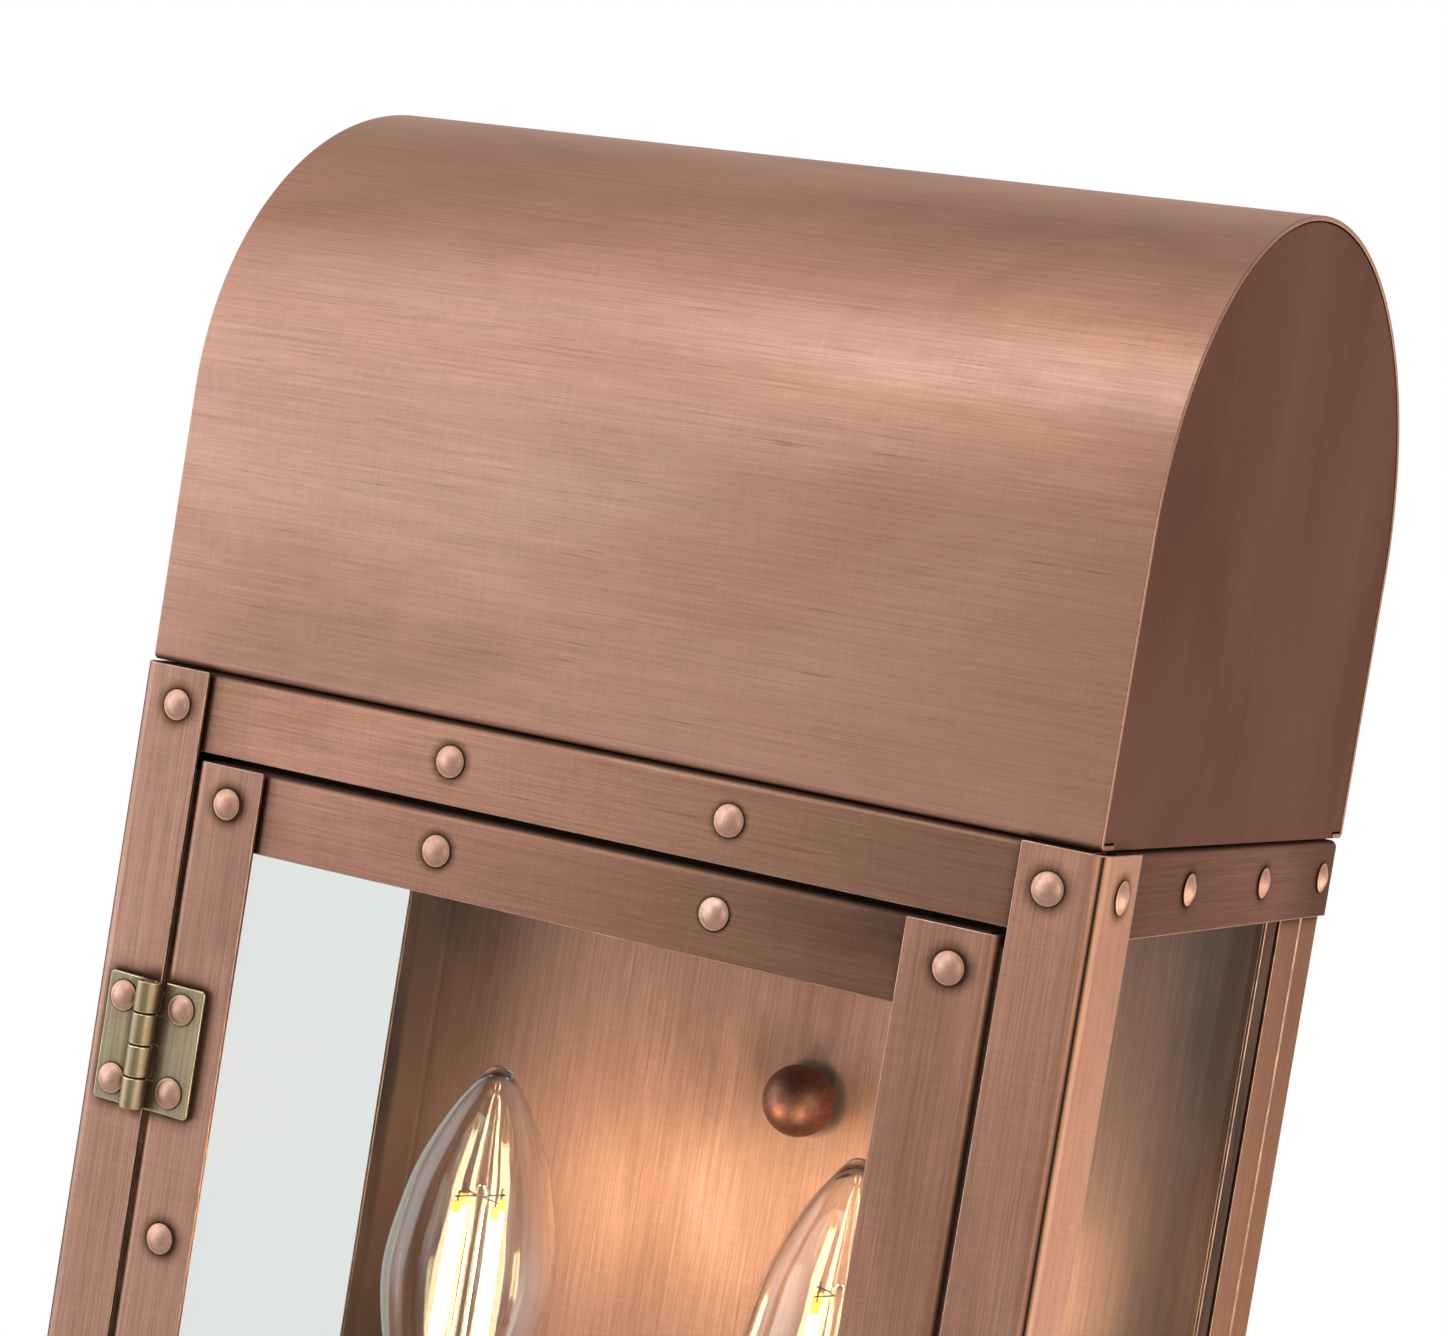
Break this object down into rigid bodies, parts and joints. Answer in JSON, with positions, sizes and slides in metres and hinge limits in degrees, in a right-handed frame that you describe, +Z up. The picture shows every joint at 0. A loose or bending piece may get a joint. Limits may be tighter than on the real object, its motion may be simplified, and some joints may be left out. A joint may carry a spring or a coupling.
{
  "type": "wall lantern",
  "caption": "Riveted copper wall lantern with a round-topped hood, a hinged glass door, clear side panes and candle lamps that screw out.",
  "frame": {"origin": "centre of the mounting bar's wall face, where the lantern is screwed to an outlet box", "axes": "+X right seen from the front, +Y into the wall (the door faces -Y), +Z up"},
  "size_m": [0.2054, 0.1511, 0.423],
  "materials": {
    "antique_copper": "brushed antique copper finish, satin, grain along each strip",
    "dark_copper": "darkened copper finish, satin",
    "antique_brass": "antique brass, satin with worn edges",
    "pane_glass": "clear flat glass",
    "bulb_glass": "clear blown glass",
    "filament": "phosphor-coated filament sticks on a glass stem, lit warm white",
    "nickel": "nickel-plated screw shell",
    "plated_steel": "zinc-plated steel",
    "candle_sleeve": "ivory candle sleeve",
    "phenolic": "black moulded phenolic",
    "insulation": "black cable insulation"
  },
  "bodies": {
    "housing": {"back_panel": "antique_copper", "ball_nut_bottom": "dark_copper", "ball_nut_top": "dark_copper", "candle_cup_left": "antique_copper", "candle_cup_right": "antique_copper", "candle_sleeve_left": "candle_sleeve", "candle_sleeve_right": "candle_sleeve", "cluster_arm_left": "antique_copper", "cluster_arm_right": "antique_copper", "cluster_hub": "antique_copper", "cluster_stem": "antique_copper", "door_catch": "phenolic", "floor_plate": "antique_copper", "glass_channel_left": "dark_copper", "glass_channel_right": "dark_copper", "hinge_leaf_frame_bottom": "antique_brass", "hinge_leaf_frame_top": "antique_brass", "hinge_pin_bottom": "antique_brass", "hinge_pin_top": "antique_brass", "hood_bracket_left": "plated_steel", "hood_bracket_right": "plated_steel", "hood_end_left": "antique_copper", "hood_end_right": "antique_copper", "hood_shell": "antique_copper", "lamp_socket_left": "phenolic", "lamp_socket_right": "phenolic", "mounting_bar": "plated_steel", "post_front_left": "antique_copper", "post_front_right": "antique_copper", "post_rear_left": "antique_copper", "post_rear_right": "antique_copper", "rail_front_bottom": "antique_copper", "rail_front_top": "antique_copper", "rail_side_bottom_left": "antique_copper", "rail_side_bottom_right": "antique_copper", "rail_side_top_left": "antique_copper", "rail_side_top_right": "antique_copper", "side_glass_left": "pane_glass", "side_glass_right": "pane_glass", "supply_lead": "insulation", "top_plate": "antique_copper", "wall_stud_bottom": "plated_steel", "wall_stud_top": "plated_steel"},
    "door": {"door_glass": "pane_glass", "door_knob": "dark_copper", "door_rail_bottom": "antique_copper", "door_rail_top": "antique_copper", "door_stile_left": "antique_copper", "door_stile_right": "antique_copper", "door_strike": "plated_steel", "hinge_leaf_door_bottom": "antique_brass", "hinge_leaf_door_top": "antique_brass"},
    "bulb_left": {"bulb_cap_left": "nickel", "bulb_glass_left": "bulb_glass", "bulb_stem_left": "filament"},
    "bulb_right": {"bulb_cap_right": "nickel", "bulb_glass_right": "bulb_glass", "bulb_stem_right": "filament"},
    "bulb_thread_left": {"bulb_tip_left": "nickel"},
    "bulb_thread_right": {"bulb_tip_right": "nickel"}
  },
  "joints": [
    {"name": "door_hinge", "type": "hinge", "parent": "housing", "child": "door", "pos_m": [-0.0865, -0.1412, 0], "axis": [0, 0, -1], "range_deg": [0, 160]},
    {"name": "bulb_left_lift", "type": "slide", "parent": "housing", "child": "bulb_thread_left", "axis": [0, 0, 1], "range_m": [0, 0.0127]},
    {"name": "bulb_left_turn", "type": "hinge", "parent": "bulb_thread_left", "child": "bulb_left", "pos_m": [-0.041, -0.0805, 0], "axis": [0, 0, 1], "range_deg": [0, 1801]},
    {"name": "bulb_right_lift", "type": "slide", "parent": "housing", "child": "bulb_thread_right", "axis": [0, 0, 1], "range_m": [0, 0.0127]},
    {"name": "bulb_right_turn", "type": "hinge", "parent": "bulb_thread_right", "child": "bulb_right", "pos_m": [0.041, -0.0805, 0], "axis": [0, 0, 1], "range_deg": [0, 1801]}
  ],
  "couplings": [
    {"joint": "bulb_left_turn", "follows": "bulb_left_lift", "rad_per_m": 2473.7},
    {"joint": "bulb_right_turn", "follows": "bulb_right_lift", "rad_per_m": 2473.7}
  ]
}
